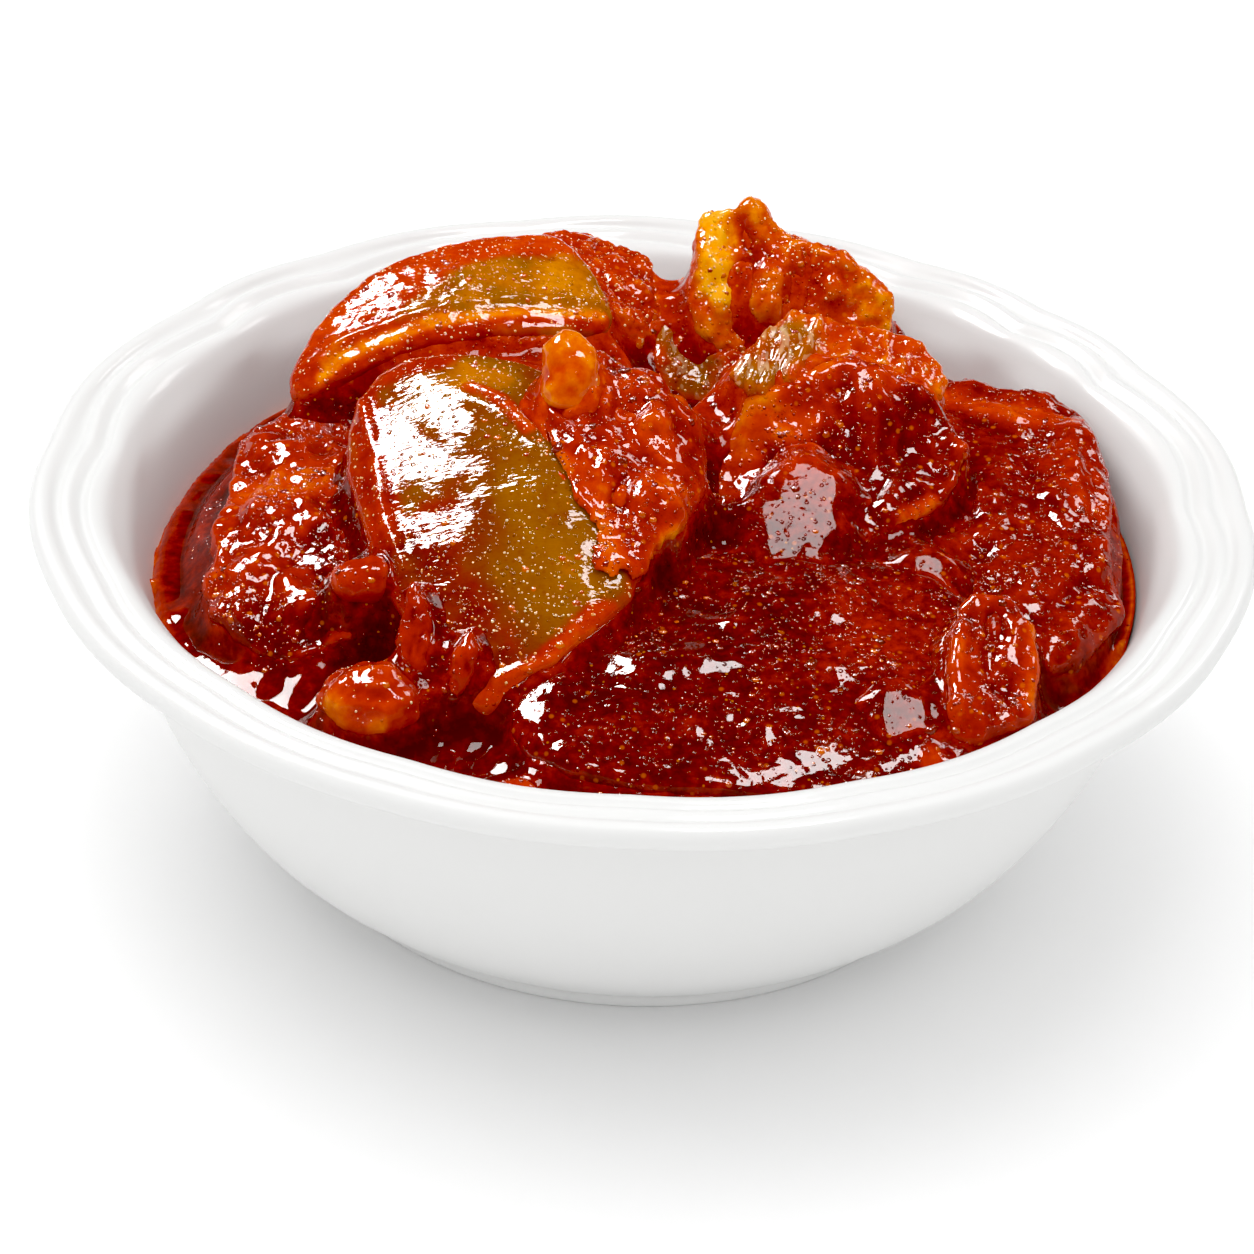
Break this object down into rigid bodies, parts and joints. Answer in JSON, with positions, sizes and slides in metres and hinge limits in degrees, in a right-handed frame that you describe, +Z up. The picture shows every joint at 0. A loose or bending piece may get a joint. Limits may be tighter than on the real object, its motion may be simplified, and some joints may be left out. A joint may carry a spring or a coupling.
{
  "type": "bowl of lemon pickle",
  "caption": "White scalloped porcelain bowl heaped with red oily lemon pickle: pieces of rind and flesh, a seed and chilli skins in a dark masala sauce.",
  "frame": {"origin": "on the table, at the middle of the foot ring", "axes": "+Z up out of the bowl, +X to the right of the bowl as shown, +Y to its back"},
  "size_m": [0.1397, 0.1402, 0.0654],
  "materials": {
    "porcelain": "white glazed porcelain",
    "masala_sauce": "dark red spiced oil, wet",
    "lemon_rind": "olive pickled rind, oily",
    "lemon_flesh": "red pickled flesh, oily",
    "masala_coating": "grainy red masala, wet",
    "seed": "amber seed and garlic, oily",
    "chilli_skin": "wet red chilli skin"
  },
  "bodies": {
    "root": {"bowl": "porcelain", "sauce": "masala_sauce", "lemon_large": "lemon_rind", "lemon_large_flesh": "lemon_flesh", "lemon_long_slice": "lemon_rind", "lemon_back_lump": "lemon_flesh", "lemon_twisted": "lemon_flesh", "lemon_hollow": "lemon_rind", "lemon_curled": "lemon_flesh", "lemon_flap": "lemon_rind", "lemon_broad_right": "lemon_flesh", "lemon_folded": "lemon_flesh", "lemon_broad_front": "masala_coating", "lemon_left": "lemon_flesh", "lemon_seed": "seed", "round_chunk": "seed", "small_chunk": "seed", "flesh_knob": "seed", "chilli_strip": "chilli_skin", "chilli_curl": "chilli_skin"}
  },
  "joints": []
}
